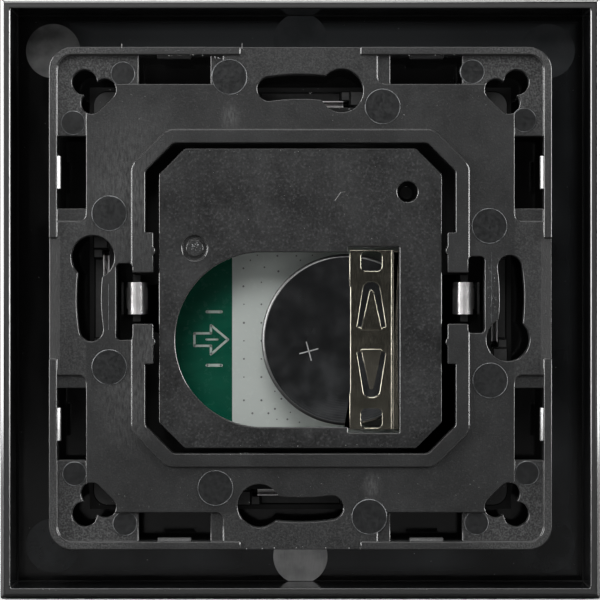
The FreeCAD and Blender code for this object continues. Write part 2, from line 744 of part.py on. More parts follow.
def negative_contact():
    """A leaf of sheet on the board, bowed towards the cell's cap."""
    base = BOARD_REAR - CONTACT_SHEET / 2
    third = CONTACT_LENGTH / 6
    points = [
        (CELL_HOME_U - 3 * third, base),
        (CELL_HOME_U - third, base),
        (CELL_HOME_U, base - CONTACT_RISE + CONTACT_SHEET / 2),
        (CELL_HOME_U + third, base),
        (CELL_HOME_U + 3 * third, base),
    ]
    radii = [0, CONTACT_BEND, CONTACT_BEND, CONTACT_BEND, 0]
    half = CONTACT_WIDTH / 2
    return strip(points, radii, CONTACT_SHEET, CELL_W - half, CELL_W + half)


def block_on_board(u, w, length, width, height):
    """A small box part standing on the board's rear face."""
    footprint = rectangle(u - length / 2, u + length / 2, w - width / 2, w + width / 2)
    return prism(footprint, BOARD_REAR - height, BOARD_REAR)


def part_on_board(from_side, from_top, length, width, height):
    """A box part placed from the housing's left side and top."""
    return block_on_board(from_side - HOUSING_RIGHT, HOUSING_TOP - from_top, length, width, height)


def row_on_board(from_side, height):
    """A row of like small parts on the board, one solid each."""
    row = []
    for i in range(ROW_COUNT):
        from_top = ROW_FROM_TOP - i * ROW_PITCH
        row.append(part_on_board(from_side, from_top, ROW_LENGTH, ROW_WIDTH, height))
    return Part.makeCompound(row)


def pairing_switch_body():
    """The small push switch behind the pairing hole."""
    body = block_on_board(PAIRING_U, PAIRING_W, PAIRING_SIDE, PAIRING_SIDE, PAIRING_HEIGHT)
    rear = BOARD_REAR - PAIRING_HEIGHT - CUT
    well_r = PAIRING_PLUNGER_R + PLUNGER_CLEARANCE
    return body.cut(disc(PAIRING_U, PAIRING_W, well_r, rear, BOARD_REAR - PAIRING_FLOOR))


def pairing_plunger():
    """The pin that a paper clip presses through the pairing hole."""
    rear = BOARD_REAR - PAIRING_HEIGHT - PAIRING_PLUNGER_OUT
    foot = BOARD_REAR - PAIRING_FLOOR - PAIRING_TRAVEL - PLUNGER_CLEARANCE
    return disc(PAIRING_U, PAIRING_W, PAIRING_PLUNGER_R, rear, foot)


def module_carrier():
    """The tray that holds housing, board, springs and rocker."""
    tray = prism(square(CARRIER_HALF, CARRIER_CORNER), CARRIER_SKIRT_REAR, CARRIER_FRONT)
    parts = [tray.cut(prism(square(TRAY_HALF), CARRIER_SKIRT_REAR - CUT, CARRIER_REAR))]
    near = TRAY_HALF - SPACER_INSET - SPACER_SIDE / 2
    far = near + SPACER_SIDE
    parts += all_round([prism(rectangle(-far, -near, near, far), PLATE_FRONT, CARRIER_REAR)])
    post_half = HAIRPIN_ACROSS / 2 - HAIRPIN_SHEET - POST_SLACK
    post_reach = POST_WIDTH / 2
    post = prism(
        rectangle(HAIRPIN_U - post_half, HAIRPIN_U + post_half, -post_reach, post_reach),
        HAIRPIN_REAR + HAIRPIN_SHEET + POST_CLEARANCE,
        CARRIER_REAR,
    )
    ear_outer = ROCKER_HALF - ROCKER_SKIRT - PIVOT_ROOM
    ear_inner = ear_outer - PIVOT_EAR
    ear = prism(
        rectangle(ear_inner, ear_outer, -PIVOT_EAR_HALF, PIVOT_EAR_HALF), CARRIER_REAR, EAR_TOP
    )
    carrier = fused(parts + [post, mirrored(post), ear, mirrored(ear)])
    room_half = PIVOT_LUG_HALF + PIVOT_ROOM
    lug_room = prism(
        rectangle(ear_outer, CARRIER_HALF + CUT, -room_half, room_half),
        LUG_REAR - 2 * PIVOT_ROOM,
        CARRIER_FRONT + CUT,
    )
    bore_r = PIVOT_R + PIVOT_CLEARANCE
    bore = Part.makeCylinder(bore_r, PIVOT_EAR + CUT, spot(ear_outer, 0, PIVOT_DEPTH), SIDEWAYS)
    hole = SWITCH_SIDE / 2 + SWITCH_COVER_SHEET + SWITCH_ROOM
    cuts = [lug_room, mirrored(lug_room), bore, mirrored(bore)]
    for w in (SWITCH_W, -SWITCH_W):
        window = rectangle(-hole, hole, w - hole, w + hole)
        cuts.append(prism(window, CARRIER_REAR - CUT, CARRIER_FRONT + CUT))
    return carrier.cut(cuts)


def retaining_spring():
    """The right hairpin: a bend towards the wall, a bead on each leg and a turned back tail."""
    inner = HAIRPIN_U - HAIRPIN_HALF
    outer = HAIRPIN_U + HAIRPIN_HALF
    crest = HAIRPIN_REAR + HAIRPIN_SHEET / 2
    tail_front = CARRIER_REAR - HAIRPIN_TAIL_GAP
    points = [
        (inner, CARRIER_REAR),
        (inner, crest),
        (outer, crest),
        (outer, tail_front),
        (TAIL_U, tail_front),
        (TAIL_U, PLATE_FRONT + HAIRPIN_TAIL_CLEARANCE),
    ]
    tail_bend = (TAIL_U - outer) / 2
    radii = [0, HAIRPIN_HALF, HAIRPIN_HALF, tail_bend, tail_bend, 0]
    wide = HAIRPIN_WIDTH / 2
    parts = [strip(points, radii, HAIRPIN_SHEET, -wide, wide)]
    long_half = HAIRPIN_BEAD_LENGTH / 2
    for leg, out in ((inner, -1), (outer, 1)):
        bead_u = leg + out * (HAIRPIN_SHEET / 2 + HAIRPIN_BEAD_OUT - HAIRPIN_BEAD_R)
        base = spot(bead_u, -long_half, PLATE_FRONT + HAIRPIN_BEAD_STEP)
        bead = Part.makeCylinder(HAIRPIN_BEAD_R, HAIRPIN_BEAD_LENGTH, base, V(0, 0, 1))
        ends = sorted([leg, leg + out * HAIRPIN_BEAD_R])
        keep = prism(rectangle(ends[0], ends[1], -wide, wide), 0, CARRIER_REAR)
        parts.append(bead.common(keep))
    return fused(parts)


def frame_spring():
    """The left side's channel of spring sheet, which grips the collar on the carrier."""
    outer = -(SHAFT_HALF + COLLAR_POCKET - CHANNEL_SLACK - CHANNEL_SHEET / 2)
    inner = -(CARRIER_HALF + CHANNEL_SLACK + CHANNEL_SHEET / 2)
    front = CARRIER_REAR - CHANNEL_LAND
    points = [
        (outer, COLLAR_REAR + CHANNEL_STEP),
        (outer, front),
        (inner, front),
        (inner, CARRIER_SKIRT_REAR + CHANNEL_INNER_STEP),
    ]
    bend = (inner - outer) / 2
    half = CHANNEL_LENGTH / 2
    return strip(points, [0, bend, bend, 0], CHANNEL_SHEET, -half, half)


def rocker():
    """The full rocker with its skirt, ribs, push pads and the two pivot lugs."""
    dip = ROCKER_HALF * math.sin(math.radians(ROCKER_TILT))
    skirt_rear = CARRIER_FRONT + dip + ROCKER_CLEARANCE
    inside = ROCKER_HALF - ROCKER_SKIRT
    body = prism(square(ROCKER_HALF, ROCKER_CORNER), skirt_rear, ROCKER_FRONT)
    body = rounded_at(body, ROCKER_FRONT, ROCKER_FRONT_ROUND, ROCKER_HALF)
    parts = [body.cut(prism(square(inside), skirt_rear - CUT, ROCKER_REAR))]
    rib_rear = ROCKER_REAR - ROCKER_RIB_HEIGHT
    rib = ROCKER_RIB / 2
    for place in (-ROCKER_RIB_W, ROCKER_RIB_W):
        level = rectangle(-inside, inside, place - rib, place + rib)
        parts.append(prism(level, rib_rear, ROCKER_REAR))
    for place in (-ROCKER_RIB_U, ROCKER_RIB_U):
        upright = rectangle(place - rib, place + rib, -inside, inside)
        parts.append(prism(upright, rib_rear, ROCKER_REAR))
    for w in (SWITCH_W, -SWITCH_W):
        parts.append(disc(0, w, PAD_R, PLUNGER_TIP + PAD_GAP, ROCKER_REAR))
    lug_outline = rectangle(inside, ROCKER_HALF, -PIVOT_LUG_HALF, PIVOT_LUG_HALF)
    lug = prism(lug_outline, LUG_REAR, ROCKER_REAR)
    pin_length = ROCKER_SKIRT + PIVOT_PIN_REACH
    pin = Part.makeCylinder(PIVOT_R, pin_length, spot(ROCKER_HALF, 0, PIVOT_DEPTH), SIDEWAYS)
    return fused(parts + [lug, mirrored(lug), pin, mirrored(pin)])


def switch_base(w):
    """The moulded base of a push switch on the board's front face, hollow for its plunger."""
    half = SWITCH_SIDE / 2
    well_r = PLUNGER_FLANGE_R + PLUNGER_CLEARANCE
    well = disc(0, w, well_r, CARRIER_REAR + SWITCH_FLOOR, COVER_REAR + CUT)
    return prism(rectangle(-half, half, w - half, w + half), CARRIER_REAR, COVER_REAR).cut(well)


def switch_cover(w):
    """The sheet cover over a push switch, with a tab down each side."""
    half = SWITCH_SIDE / 2
    tab = SWITCH_TAB_WIDTH / 2
    front = COVER_REAR + SWITCH_COVER_SHEET
    parts = [prism(rectangle(-half, half, w - half, w + half), COVER_REAR, front)]
    for u in (-half - SWITCH_COVER_SHEET, half):
        side = rectangle(u, u + SWITCH_COVER_SHEET, w - tab, w + tab)
        parts.append(prism(side, CARRIER_REAR + SWITCH_TAB_START, front))
    hole = disc(0, w, PLUNGER_R + PLUNGER_CLEARANCE, COVER_REAR - CUT, front + CUT)
    return fused(parts).cut(hole)


def switch_plunger(w):
    """A push switch's plunger, with a flange under the cover."""
    flange_front = COVER_REAR - PLUNGER_TRAVEL - PLUNGER_CLEARANCE / 2
    flange_rear = flange_front - PLUNGER_FLANGE
    stem = disc(0, w, PLUNGER_R, flange_rear, PLUNGER_TIP)
    return fused([stem, disc(0, w, PLUNGER_FLANGE_R, flange_rear, flange_front)])


def board_parts():
    """The small parts on the board, by their names."""
    led_u = PAIRING_U - LED_OFFSET
    return {
        "radio_chip": part_on_board(
            CHIP_FROM_SIDE, CHIP_FROM_TOP, CHIP_SIDE, CHIP_SIDE, CHIP_HEIGHT
        ),
        "crystal": part_on_board(
            CRYSTAL_FROM_SIDE, CRYSTAL_FROM_TOP, CRYSTAL_LENGTH, CRYSTAL_WIDTH, CRYSTAL_HEIGHT
        ),
        "status_led": block_on_board(led_u, PAIRING_W, LED_LENGTH, LED_WIDTH, LED_HEIGHT),
        "capacitors": row_on_board(CAPACITOR_FROM_SIDE, CAPACITOR_HEIGHT),
        "resistors": row_on_board(RESISTOR_FROM_SIDE, RESISTOR_HEIGHT),
    }


def build():
    """Every piece of the switch by its name."""
    spring = retaining_spring()
    pieces = {
        "cover_frame": cover_frame(),
        "mounting_plate": mounting_plate(),
        "module_carrier": module_carrier(),
        "rear_housing": rear_housing(),
        "circuit_board": circuit_board(),
        "battery_clip": battery_clip(),
        "negative_contact": negative_contact(),
        "coin_cell": coin_cell(),
        "rocker": rocker(),
        "pairing_switch_body": pairing_switch_body(),
        "pairing_plunger": pairing_plunger(),
        "retaining_spring_right": spring,
        "retaining_spring_left": mirrored(spring),
    }
    pieces.update(board_parts())
    for quarters, side in enumerate(("left", "top", "right", "bottom")):
        pieces["frame_spring_" + side] = turned(frame_spring(), quarters)
    for side, w in (("upper", SWITCH_W), ("lower", -SWITCH_W)):
        pieces["switch_base_" + side] = switch_base(w)
        pieces["switch_cover_" + side] = switch_cover(w)
        pieces["switch_plunger_" + side] = switch_plunger(w)
    return pieces


os.makedirs("parts", exist_ok=True)
for name, shape in build().items():
    shape.exportStep("parts/" + name + ".step")
    print(name, len(shape.Solids), shape.isValid(), round(shape.Volume, 2))
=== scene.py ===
import math
import random

import bpy
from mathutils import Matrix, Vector


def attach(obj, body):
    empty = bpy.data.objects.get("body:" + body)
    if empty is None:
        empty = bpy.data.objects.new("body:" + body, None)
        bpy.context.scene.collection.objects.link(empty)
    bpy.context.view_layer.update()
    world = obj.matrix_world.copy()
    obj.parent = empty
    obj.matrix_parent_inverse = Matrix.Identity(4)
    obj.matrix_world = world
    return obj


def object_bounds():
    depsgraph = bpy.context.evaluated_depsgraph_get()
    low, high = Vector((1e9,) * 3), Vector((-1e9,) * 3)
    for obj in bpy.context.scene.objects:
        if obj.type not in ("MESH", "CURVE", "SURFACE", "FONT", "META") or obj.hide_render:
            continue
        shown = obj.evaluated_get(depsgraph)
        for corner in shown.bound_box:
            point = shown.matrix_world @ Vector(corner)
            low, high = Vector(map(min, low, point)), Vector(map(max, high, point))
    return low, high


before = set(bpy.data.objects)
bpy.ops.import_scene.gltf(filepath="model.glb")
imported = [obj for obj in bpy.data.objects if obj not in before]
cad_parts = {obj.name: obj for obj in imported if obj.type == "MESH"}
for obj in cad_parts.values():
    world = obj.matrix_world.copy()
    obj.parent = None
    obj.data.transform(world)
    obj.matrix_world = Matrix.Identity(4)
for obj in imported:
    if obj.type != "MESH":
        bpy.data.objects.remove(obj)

# The looks of the wall switch. Places are millimetres as seen from the wall side: u to the
# right (-X), w up (+Z), depth from the wall into the room (-Y).

MM = 0.001
CAD_BOX = [list(corner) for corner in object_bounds()]
CHANCE = random.Random(24)

# Camera: on the axis behind the wall plane, moved by a few pixels of the picture
CAMERA_AWAY = 325.0
CAMERA_LENS = 137.2
SENSOR = 36.0
PICTURE = 600
CAMERA_SHIFT = (-0.4, -1.7)

# Depths of the CAD parts' faces that pieces lie on
FIELD = 0.4
STRIP = 0.9
PLATE_RIM = 0.0
LIP = 0.02
LIP_STEP = 0.1
FRAME_FACE = 8.0
MODULE_REAR = 0.45
BOARD_REAR = 6.9
CELL_REAR = 1.35
GATE_FACE = 0.57

# Outlines of the CAD parts that finishes and pieces follow
FRAME_INNER = 41.2
FRAME_COLLAR = 30.7
FRAME_SLOPE = 42.05
PLATE_EDGE = 35.65
PLATE_LIP = 34.25
PLATE_STRIP = 30.5

# Where the spring sheet's finish changes, each from and to: the catches' distance from the
# middle, the hairpins' back legs and the channels, sideways from the middle
CATCHES = (29.0, 30.0)
HAIRPIN_BACK = (24.6, 25.0)
HAIRPIN_END = (26.8, 27.0)
CHANNEL = (27.2, 27.4)

# Parts on the board and beside it
LEGEND_EDGE = -9.9
CELL_U = 6.7
CELL_W = -5.9
CELL_R = 12.25
GATE_U = -15.0
GATE_W = 7.14
GATE_SCAR_R = 0.85


def at(u, w, depth=0.0):
    """A point in metres from its place as seen from the wall side."""
    return Vector((-u * MM, -depth * MM, w * MM))


# Materials


class Nodes:
    """A node tree, with a few short calls to wire it."""

    def __init__(self, tree):
        self.tree = tree

    def add(self, kind, **settings):
        node = self.tree.nodes.new(kind)
        for key, value in settings.items():
            setattr(node, key, value)
        return node

    def feed(self, socket, value):
        if isinstance(value, bpy.types.NodeSocket):
            self.tree.links.new(value, socket)
        elif isinstance(value, tuple) and len(value) == 3 and socket.type == "RGBA":
            socket.default_value = (*value, 1.0)
        else:
            socket.default_value = value

    def math(self, operation, first, second=0.0):
        node = self.add("ShaderNodeMath", operation=operation)
        self.feed(node.inputs[0], first)
        self.feed(node.inputs[1], second)
        return node.outputs[0]

    def both(self, first, second, *others):
        """The product of masks."""
        product = self.math("MULTIPLY", first, second)
        for other in others:
            product = self.math("MULTIPLY", product, other)
        return product

    def most(self, first, second):
        return self.math("MAXIMUM", first, second)

    def span(self, value, low, high, to_low=0.0, to_high=1.0):
        node = self.add("ShaderNodeMapRange")
        names = ("Value", "From Min", "From Max", "To Min", "To Max")
        for name, number in zip(names, (value, low, high, to_low, to_high)):
            self.feed(node.inputs[name], number)
        return node.outputs[0]

    def parts_of(self, vector):
        node = self.add("ShaderNodeSeparateXYZ")
        self.feed(node.inputs[0], vector)
        return node.outputs

    def shown(self):
        """One for the rays that show the background: camera, glossy and transmission rays."""
        rays = self.add("ShaderNodeLightPath").outputs
        seen = self.most(rays["Is Camera Ray"], rays["Is Glossy Ray"])
        return self.most(seen, rays["Is Transmission Ray"])

    def camera_ray(self):
        return self.add("ShaderNodeLightPath").outputs["Is Camera Ray"]


class Shader(Nodes):
    """A node material round one Principled shader, in the object's own coordinates."""

    def __init__(self, name, **constants):
        self.material = bpy.data.materials.new(name)
        self.material.use_nodes = True
        super().__init__(self.material.node_tree)
        self.surface = self.tree.nodes["Principled BSDF"]
        self.place = self.add("ShaderNodeTexCoord").outputs["Object"]
        self.axes = self.parts_of(self.place)
        for key, value in constants.items():
            self.set(key.replace("_", " "), value)

    def set(self, name, value):
        names = {socket.name.lower(): socket for socket in self.surface.inputs}
        self.feed(names[name.lower()], value)

    def stretched(self, x, y, z):
        """The object's coordinates with each axis scaled."""
        node = self.add("ShaderNodeMapping")
        self.feed(node.inputs["Vector"], self.place)
        node.inputs["Scale"].default_value = (x, y, z)
        return node.outputs[0]

    def noise(self, size, detail=2.0, place=None, rough=0.5):
        """Noise whose patches are about size millimetres wide."""
        node = self.add("ShaderNodeTexNoise")
        self.feed(node.inputs["Vector"], place or self.place)
        node.inputs["Scale"].default_value = 1.0 / (size * MM)
        node.inputs["Detail"].default_value = detail
        node.inputs["Roughness"].default_value = rough
        return node.outputs["Fac"]

    def cells(self, size):
        """Distance to scattered points about size millimetres apart."""
        node = self.add("ShaderNodeTexVoronoi")
        self.feed(node.inputs["Vector"], self.place)
        node.inputs["Scale"].default_value = 1.0 / (size * MM)
        return node.outputs["Distance"]

    def mix(self, factor, first, second):
        node = self.add("ShaderNodeMix", data_type="RGBA")
        self.feed(node.inputs[0], factor)
        self.feed(node.inputs[6], first)
        self.feed(node.inputs[7], second)
        return node.outputs[2]

    def past(self, value, low, high):
        """Nought below low millimetres, one above high."""
        return self.span(value, low * MM, high * MM)

    def before(self, value, low, high):
        """One below low millimetres, nought above high."""
        return self.span(value, low * MM, high * MM, 1.0, 0.0)

    def far(self):
        """Distance from the middle, the same along each side of a square."""
        return self.most(self.side(), self.math("ABSOLUTE", self.axes["Z"]))

    def side(self):
        """Distance from the upright line through the middle."""
        return self.math("ABSOLUTE", self.axes["X"])

    def near(self, u, w, reach, tall=1.0):
        """One at a place seen from the wall side, falling to nought at reach millimetres."""
        across = self.math("SUBTRACT", self.axes["X"], -u * MM)
        along = self.math("DIVIDE", self.math("SUBTRACT", self.axes["Z"], w * MM), tall)
        square = self.math("ADD", self.both(across, across), self.both(along, along))
        return self.span(self.math("SQRT", square), 0.0, reach * MM, 1.0, 0.0)

    def bump(self, height, strength, distance=0.02):
        node = self.add("ShaderNodeBump")
        node.inputs["Strength"].default_value = strength
        node.inputs["Distance"].default_value = distance * MM
        self.feed(node.inputs["Height"], height)
        if self.surface.inputs["Normal"].is_linked:
            self.feed(node.inputs["Normal"], self.surface.inputs["Normal"].links[0].from_socket)
        self.set("Normal", node.outputs[0])


def grey(level, tint=0.0):
    """A grey, cooler where tint is above nought."""
    return (level * (1 - tint), level, level * (1 + tint))


def moulded(name, dark, light, grain, rough, specks=0.0, grain_size=0.22, tint=0.02):
    """Fine grained moulded plastic with cloudy tone and scattered bright grains."""
    shader = Shader(name, Specular_IOR_Level=0.38)
    cloud = shader.noise(9.0, 3.0)
    fine = shader.noise(grain_size, 4.0)
    blend = shader.math("ADD", shader.both(cloud, 0.55), shader.both(fine, 0.45))
    tone = shader.mix(shader.span(blend, 0.38, 0.62), grey(dark, tint), grey(light, tint))
    grains = shader.span(shader.noise(0.3, 1.0), 0.6, 0.72)
    shader.tone = shader.mix(shader.both(grains, specks), tone, grey(0.16))
    shader.set("Base Color", shader.tone)
    shader.rough = shader.span(shader.noise(2.0, 4.0), 0.3, 0.7, rough - 0.06, rough + 0.08)
    shader.set("Roughness", shader.rough)
    shader.bump(fine, grain)
    return shader


# Places on the wall plate painted paler: two small spots, and three large patches on the left side
# that are painted light. Each gives u, w, reach, and how much taller than wide
PALE_AND_LIT_PATCHES = (
    (-10.0, 25.8, 1.7, 1.5),
    (10.2, -26.8, 1.7, 1.6),
    (-24.0, 15.0, 9.0, 1.6),
    (-20.0, -7.0, 8.0, 1.6),
    (-24.0, -14.0, 6.0, 1.6),
)


def plate_black():
    """The wall plate: raised strips with painted glints, paler places with painted light on the
    left, and polished side ledges with a painted sheen.
    """
    shader = moulded("plate_black", 0.011, 0.023, 0.8, 0.45, specks=0.08)
    strip = shader.past(shader.far(), PLATE_STRIP - 0.1, PLATE_STRIP + 0.1)
    # Painted glints: pale grains on the raised strips, more of them towards the corners
    sparkle = shader.span(shader.noise(0.24, 3.0), 0.4, 0.7)
    inward = shader.math("MINIMUM", shader.side(), shader.math("ABSOLUTE", shader.axes["Z"]))
    corner_glint = shader.span(inward, 22.0 * MM, 30.0 * MM, 0.25, 0.75)
    tone = shader.mix(shader.both(strip, sparkle, corner_glint), shader.tone, grey(0.12))
    # Paler places: two small spots, and painted light over the plate's left side, streaked by the
    # wipes
    pale_and_lit = 0.0
    for streak in PALE_AND_LIT_PATCHES:
        pale_and_lit = shader.most(shader.near(*streak), pale_and_lit)
    wipes = shader.span(shader.noise(0.5, 3.0, shader.stretched(2.0, 1.0, 0.5)), 0.3, 0.75)
    tone = shader.mix(shader.both(pale_and_lit, wipes, 0.65), tone, grey(0.12))
    # Polished side ledges: real gloss and coat, with a lighter tone that is a painted sheen
    ledge = shader.both(
        shader.past(shader.side(), PLATE_LIP - 0.05, PLATE_LIP + 0.05),
        shader.before(shader.axes["Y"], -0.3, -0.2),
        shader.past(shader.axes["Y"], -0.8, -0.75),
    )
    shader.set("Base Color", shader.mix(ledge, tone, grey(0.05)))
    shader.set("Roughness", shader.math("SUBTRACT", shader.rough, shader.both(ledge, 0.28)))
    shader.set("Specular IOR Level", shader.span(ledge, 0.0, 1.0, 0.38, 1.0))
    shader.set("Coat Weight", ledge)
    shader.set("Coat Roughness", 0.08)
    shader.bump(sparkle, 0.5)
    return shader.material


def gloss(name):
    """High gloss black moulding with faint wipe marks and settled dust."""
    shader = Shader(name)
    wipe = shader.noise(6.0, 5.0, shader.stretched(1.0, 1.0, 0.35), 0.6)
    scattered = shader.span(shader.cells(1.3), 0.03, 0.05, 1.0, 0.0)
    sparse = shader.span(shader.noise(5.0, 2.0), 0.55, 0.62)
    shader.dust = shader.both(scattered, sparse)
    clean = shader.mix(wipe, grey(0.004, 0.04), grey(0.01, 0.04))
    shader.tone = shader.mix(shader.dust, clean, grey(0.11))
    shader.rough = shader.span(wipe, 0.35, 0.75, 0.07, 0.2)
    return shader


def finish_gloss(shader):
    shader.set("Base Color", shader.tone)
    shader.set("Roughness", shader.most(shader.rough, shader.both(shader.dust, 0.8)))
    shader.bump(shader.noise(1.6, 2.0), 0.06, 0.01)
    return shader.material


def frame_black():
    """The frame: brushed rim, matt collar, cloudy inside of the front with painted light along its
    top and painted shade behind the plate, on the left and towards the outer edge, bright outer
    slope.
    """
    shader = gloss("frame_black")
    far = shader.far()
    deep = shader.axes["Y"]
    high = shader.axes["Z"]
    rim = shader.past(deep, -0.05, -0.02)
    lines = shader.add("ShaderNodeTexNoise", noise_dimensions="1D")
    shader.feed(lines.inputs["W"], far)
    lines.inputs["Scale"].default_value = 6500.0
    brushed = shader.mix(shader.span(lines.outputs["Fac"], 0.3, 0.7), grey(0.016), grey(0.034))
    collar = shader.both(
        shader.before(far, FRAME_COLLAR - 0.1, FRAME_COLLAR + 0.1), shader.past(deep, -10.1, -10.0)
    )
    matt = shader.mix(shader.noise(0.4, 3.0), grey(0.02), grey(0.05))
    tone = shader.mix(collar, shader.mix(rim, shader.tone, brushed), matt)
    shader.rough = shader.most(shader.rough, shader.both(shader.most(rim, collar), 0.42))

    inside = shader.both(
        shader.before(deep, 0.1 - FRAME_FACE, 0.2 - FRAME_FACE),
        shader.past(deep, -0.3 - FRAME_FACE, -0.2 - FRAME_FACE),
    )
    cloud = shader.span(shader.noise(13.0, 3.0), 0.35, 0.65)
    cloud = shader.mix(cloud, grey(0.008, 0.08), grey(0.026, 0.08))
    # Painted shade behind the plate's edge, painted light along the top, painted shade on the left
    # and towards the outer edge
    shaded_behind_plate = shader.before(far, PLATE_EDGE - 0.15, PLATE_EDGE + 0.15)
    cloud = shader.mix(shaded_behind_plate, cloud, grey(0.003))
    lit_top = shader.past(high, PLATE_EDGE - 0.35, PLATE_EDGE + 0.15)
    cloud = shader.mix(lit_top, cloud, grey(0.045, 0.06))
    shade = shader.most(shader.past(shader.axes["X"], 30.0, 35.0), shader.past(far, 38.8, 40.5))
    shader.tone = shader.mix(inside, tone, shader.mix(shade, cloud, grey(0.002)))

    corner = shader.both(
        shader.past(far, FRAME_INNER - 0.25, FRAME_INNER - 0.2),
        shader.before(deep, 0.2 - FRAME_FACE, 0.3 - FRAME_FACE),
    )
    slope = shader.both(
        shader.past(far, FRAME_SLOPE - 0.05, FRAME_SLOPE + 0.05), shader.past(deep, -0.7, -0.6)
    )
    upper = shader.both(slope, shader.span(high, 41.5 * MM, 41.7 * MM, 0.0, 0.5))
    sheen = shader.math("ADD", upper, shader.span(corner, 0.0, 1.0, 0.5, 0.0))
    shader.set("Specular IOR Level", sheen)
    shader.set("Coat Weight", slope)
    shader.set("Coat Roughness", 0.1)
    return finish_gloss(shader)


def metal(name, colour, rough, lines, line_size=0.06):
    """Rolled or plated sheet with fine lines along one axis and cloudy tarnish."""
    shader = Shader(name, Metallic=1.0)
    fine = shader.noise(line_size, 3.0, shader.stretched(*lines))
    dark = tuple(channel * 0.72 for channel in colour)
    shader.tone = shader.mix(shader.span(shader.noise(2.5, 4.0), 0.35, 0.65), dark, colour)
    shader.rough = shader.span(fine, 0.3, 0.7, rough * 0.75, rough * 1.35)
    shader.set("Base Color", shader.tone)
    shader.set("Roughness", shader.rough)
    shader.bump(fine, 0.12, 0.01)
    return shader


def spring_steel():
    """Spring sheet: matt on the catches, dark behind the hairpins, painted pale in the channels as
    a glint.
    """
    shader = metal("spring_steel", (0.95, 0.93, 0.93), 0.38, (0.08, 0.08, 1.0))
    catches = shader.past(shader.far(), *CATCHES)
    middle = shader.before(shader.far(), *CATCHES)
    side = shader.side()
    back = shader.both(shader.past(side, *HAIRPIN_BACK), shader.before(side, *HAIRPIN_END))
    # Painted glint: in the channels the steel turns to a pale, almost plain finish
    channel = shader.both(middle, shader.past(side, *CHANNEL))
    shader.set("Base Color", shader.mix(shader.both(middle, back), shader.tone, grey(0.06)))
    shader.set("Roughness", shader.most(shader.rough, shader.both(catches, 0.45)))
    shader.set("Metallic", shader.span(channel, 0.0, 1.0, 1.0, 0.1))
    return shader.material


def board_green():
    """Green solder mask over copper, with the pale printed area on its right."""
    shader = Shader("board_green")
    legend = shader.before(shader.axes["X"], -LEGEND_EDGE - 0.02, -LEGEND_EDGE + 0.02)
    copper = shader.span(shader.noise(1.6, 2.0, shader.stretched(0.4, 1.0, 1.0)), 0.45, 0.55)
    mask = shader.mix(copper, (0.005, 0.105, 0.063), (0.007, 0.118, 0.07))
    print_tone = shader.mix(shader.noise(4.0, 3.0), (0.73, 0.79, 0.75), (0.8, 0.85, 0.81))
    shader.set("Base Color", shader.mix(legend, mask, print_tone))
    shader.set("Roughness", shader.span(shader.noise(0.8, 3.0), 0.3, 0.7, 0.16, 0.3))
    shader.set("Specular IOR Level", 0.3)
    shader.bump(shader.math("ADD", copper, legend), 0.3, 0.02)
    return shader.material


def cell_steel():
    """Stainless steel, brushed round the cell's axis, with a matt line round its rim that is
    painted dark as shade.
    """
    shader = Shader("cell_steel", Metallic=1.0)
    centred = shader.add("ShaderNodeMapping")
    shader.feed(centred.inputs["Vector"], shader.place)
    centred.inputs["Location"].default_value = (CELL_U * MM, 0.0, -CELL_W * MM)
    rings = shader.add("ShaderNodeTexWave", wave_type="RINGS", rings_direction="Y")
    shader.feed(rings.inputs["Vector"], centred.outputs[0])
    rings.inputs["Scale"].default_value = 900.0
    rings.inputs["Distortion"].default_value = 3.0
    rings.inputs["Detail"].default_value = 3.0
    smudge = shader.noise(3.0, 4.0)
    polished = shader.mix(smudge, grey(0.42, 0.04), grey(0.52, 0.03))
    # Painted shade: the rim is darkened and roughened so it shows no highlight
    rim = shader.span(shader.near(CELL_U, CELL_W, CELL_R), 0.036, 0.045, 1.0, 0.0)
    shader.set("Base Color", shader.mix(rim, polished, grey(0.16)))
    rough = shader.span(smudge, 0.3, 0.7, 0.08, 0.17)
    shader.set("Roughness", shader.most(rough, shader.both(rim, 0.4)))
    shader.bump(rings.outputs["Fac"], 0.03, 0.01)
    return shader.material


def frame_edge():
    """The frame's rounded edges: sharp and glossy round the wall side's rim, plain elsewhere."""
    shader = Shader("frame_edge")
    deep = shader.axes["Y"]
    shader.set("Base Color", shader.mix(shader.noise(0.5, 3.0), grey(0.008), grey(0.02)))
    shader.set("Roughness", shader.span(shader.noise(0.8, 2.0), 0.3, 0.7, 0.1, 0.17))
    front = shader.span(deep, -9.5 * MM, -9.0 * MM, 0.5, 0.0)
    shader.set("Specular IOR Level", shader.most(shader.past(deep, -1.0, -0.5), front))
    return shader.material


def moulded_edge(name):
    """Rounded plastic edges, smooth where they run upright and matt where they run level."""
    shader = Shader(name)
    normal = shader.parts_of(shader.add("ShaderNodeTexCoord").outputs["Normal"])
    upright = shader.math("ABSOLUTE", normal["X"])
    shader.set("Base Color", shader.mix(shader.noise(0.5, 3.0), grey(0.015), grey(0.04)))
    shader.set("Specular IOR Level", shader.span(upright, 0.15, 0.4, 0.3, 1.0))
    shader.set("Roughness", shader.span(upright, 0.15, 0.4, 0.34, 0.16))
    return shader.material


def plain(name, dark, light, rough, size=0.4, **constants):
    """A small part's own finish: mottled tone, uneven gloss and a light grain."""
    shader = Shader(name, **constants)
    patch = shader.noise(size, 4.0)
    shader.set("Base Color", shader.mix(shader.span(patch, 0.35, 0.65), dark, light))
    shader.set("Roughness", shader.span(patch, 0.3, 0.7, rough - 0.06, rough + 0.08))
    shader.bump(patch, 0.2)
    return shader.material


